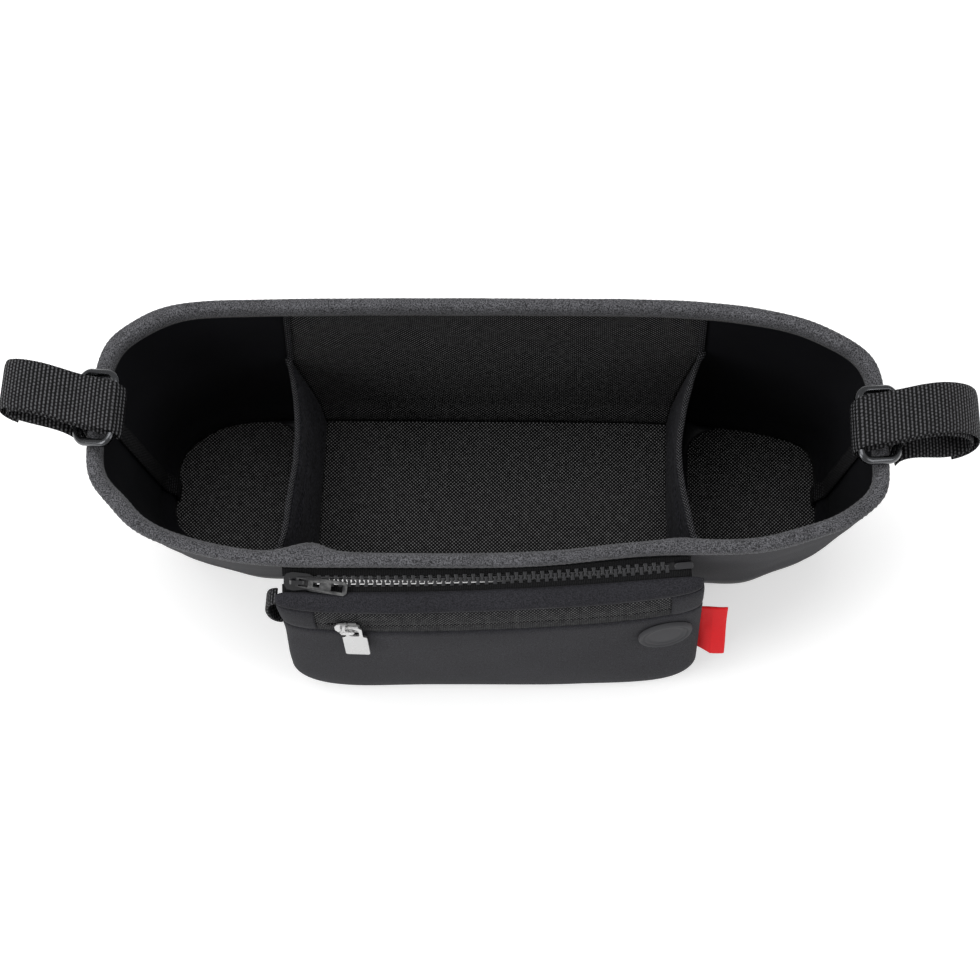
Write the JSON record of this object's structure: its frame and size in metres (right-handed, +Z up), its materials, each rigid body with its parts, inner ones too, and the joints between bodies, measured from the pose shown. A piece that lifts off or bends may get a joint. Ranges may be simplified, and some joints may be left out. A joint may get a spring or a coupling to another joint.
{
  "type": "pushchair organizer bag",
  "caption": "Open soft tub with cup pockets, zip-off front pouch and carrying loops for a pushchair handle.",
  "frame": {"origin": "centre of the base panel's flat underside", "axes": "+X runs to the right cup pocket seen from the pouch side, -Y faces the pouch, +Z is up"},
  "size_m": [0.4715, 0.1662, 0.1424],
  "materials": {
    "foam": "smooth matte foam-backed cloth",
    "binding": "fine fuzzy knit",
    "knit": "dark knit",
    "lining": "near black lining with a faint sheen",
    "weave": "coarse plain weave",
    "base": "dark coated sheet",
    "board": "plain board",
    "webbing": "ribbed webbing",
    "hook": "hook and loop strip",
    "wire": "gloss dark grey",
    "teeth": "moulded zip black",
    "black_metal": "gloss black enamel",
    "silver": "satin nickel",
    "badge_rubber": "soft satin rubber",
    "red_cloth": "plain satin cloth"
  },
  "bodies": {
    "organizer": {"base_panel": "base", "base_welt": "base", "base_board": "board", "outer_shell": "foam", "rim_binding": "binding", "liner_back": "weave", "liner_front": "weave", "cup_liner_left": "lining", "cup_liner_right": "lining", "floor_centre": "weave", "cup_floor_left": "weave", "cup_floor_right": "weave", "divider_left": "knit", "divider_right": "knit", "divider_left_binding": "binding", "divider_right_binding": "binding", "end_tape_left": "webbing", "end_tape_right": "webbing", "strap_left": "webbing", "strap_right": "webbing", "hook_strip_left": "hook", "hook_strip_right": "hook", "ring_left": "wire", "ring_right": "wire", "ring_tab_left": "webbing", "ring_tab_right": "webbing", "attach_tape_tub": "teeth", "attach_tape_pouch": "teeth", "retaining_box": "teeth", "pouch_upper_panel": "foam", "pouch_lower_panel": "foam", "pouch_back_panel": "foam", "pouch_zip_upper": "weave", "pouch_zip_lower": "weave", "zip_end_tab_left": "foam", "zip_end_tab_right": "foam", "badge": "badge_rubber", "side_tag": "red_cloth", "wrist_tab": "webbing"},
    "attach_slider": {"attach_slider": "black_metal"},
    "attach_pull": {"attach_pull": "black_metal"},
    "pouch_slider": {"pouch_slider": "silver"},
    "pouch_pull": {"pouch_pull": "silver"}
  },
  "joints": [
    {"name": "attach_slider_travel", "type": "hinge", "parent": "organizer", "child": "attach_slider", "pos_m": [-0.072, 1.3529, 0.1185], "axis": [0, 0, 1], "range_deg": [0, 6.5], "deforming": ["attach_tape_tub", "attach_tape_pouch"]},
    {"name": "attach_pull_swing", "type": "hinge", "parent": "attach_slider", "child": "attach_pull", "pos_m": [-0.08502, -0.09893, 0.1212], "axis": [-0.1464, -0.8099, -0.568], "range_deg": [0, 150]},
    {"name": "pouch_slider_travel", "type": "hinge", "parent": "organizer", "child": "pouch_slider", "pos_m": [-0.072, 1.3529, 0.1], "axis": [0, 0, 1], "range_deg": [0, 4.9], "deforming": ["pouch_zip_upper", "pouch_zip_lower"]},
    {"name": "pouch_pull_swing", "type": "hinge", "parent": "pouch_slider", "child": "pouch_pull", "pos_m": [-0.05989, -0.11438, 0.10009], "axis": [-0.023, -0.9978, 0.0617], "range_deg": [-30, 30]}
  ]
}
